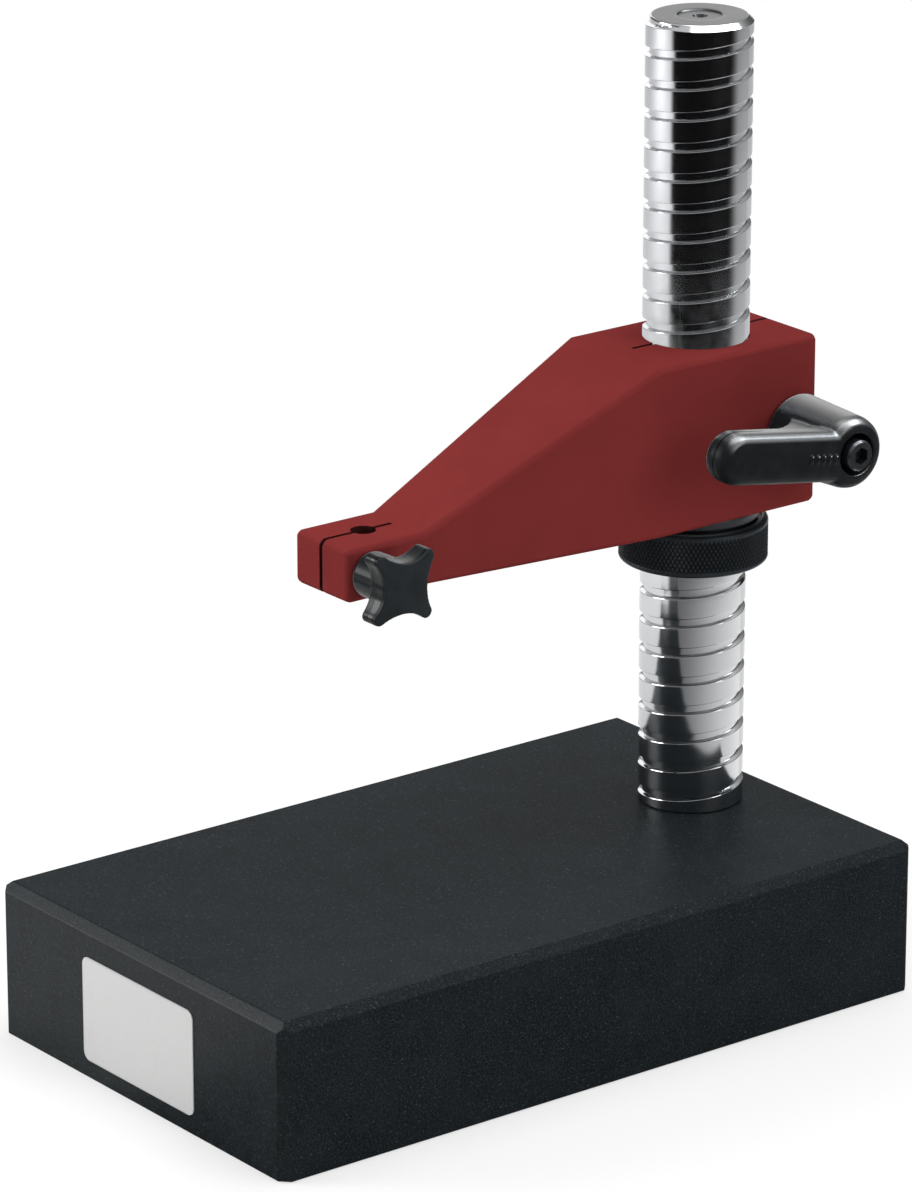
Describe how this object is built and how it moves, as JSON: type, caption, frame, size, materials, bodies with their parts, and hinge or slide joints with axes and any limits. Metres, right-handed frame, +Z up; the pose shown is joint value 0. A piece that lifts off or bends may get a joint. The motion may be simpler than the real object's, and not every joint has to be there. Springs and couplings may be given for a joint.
{
  "type": "comparator stand",
  "caption": "Comparator stand for a gauge: a stone plate, a helically grooved column, a knurled nut that lifts a slit arm, a clamping lever and a cross-grip knob at the gauge bore.",
  "frame": {"origin": "centre of the stone plate's underside", "axes": "+Z up along the column; -Y towards the arm's nose and the front of the plate; +X towards the side with the lever and the knob"},
  "size_m": [0.15, 0.2545, 0.311],
  "materials": {
    "stone": "fine ground black stone",
    "label": "blank white label",
    "turned_steel": "ground and hard-chromed steel",
    "plain_steel": "bright turned steel",
    "spring_steel": "drawn spring wire",
    "black_steel": "black oxide steel",
    "black_nut": "black finished, diamond knurl",
    "black_ring": "black finished, turned",
    "arm_paint": "dark red fine textured enamel on a casting",
    "lever_coat": "black textured coating on a die casting",
    "knob_plastic": "black moulded plastic",
    "insert_brass": "turned brass"
  },
  "bodies": {
    "stand": {"granite_plate": "stone", "name_plate": "label", "column_bush": "plain_steel", "column": "turned_steel", "column_washer": "plain_steel", "column_screw": "black_steel"},
    "carrier": {"thrust_ring": "black_ring"},
    "nut": {"adjusting_nut": "black_nut"},
    "arm": {"support_arm": "arm_paint", "rear_thread_insert": "insert_brass", "nose_thread_insert": "insert_brass"},
    "clamp": {"lever_insert": "plain_steel", "lever_stud": "plain_steel", "lever_washer": "plain_steel", "lever_spring": "spring_steel", "lever_screw": "black_steel"},
    "handle": {"lever_handle": "lever_coat"},
    "knob": {"cross_knob": "knob_plastic", "knob_bush": "insert_brass", "knob_stud": "plain_steel"}
  },
  "joints": [
    {"name": "lift", "type": "slide", "parent": "stand", "child": "carrier", "axis": [0, 0, 1], "range_m": [-0.07, 0.1]},
    {"name": "nut_turn", "type": "hinge", "parent": "carrier", "child": "nut", "pos_m": [0, 0.094, 0.1407], "axis": [0, 0, 1], "range_deg": [-2580, 3680]},
    {"name": "arm_swing", "type": "hinge", "parent": "carrier", "child": "arm", "pos_m": [0, 0.094, 0.1792], "axis": [0, 0, 1], "continuous": true},
    {"name": "clamp_turn", "type": "hinge", "parent": "arm", "child": "clamp", "pos_m": [0.0232, 0.1162, 0.1761], "axis": [1, 0, 0], "range_deg": [-20, 90]},
    {"name": "handle_pull", "type": "slide", "parent": "clamp", "child": "handle", "axis": [1, 0, 0], "range_m": [0, 0.0035], "stiffness_N_per_m": 1500, "springref_m": -0.002, "deforming": ["lever_spring"]},
    {"name": "knob_turn", "type": "hinge", "parent": "arm", "child": "knob", "pos_m": [0.0139, -0.0459, 0.1599], "axis": [1, 0, 0], "range_deg": [-90, 360]}
  ],
  "couplings": [
    {"joint": "nut_turn", "follows": "lift", "rad_per_m": 641.14}
  ]
}
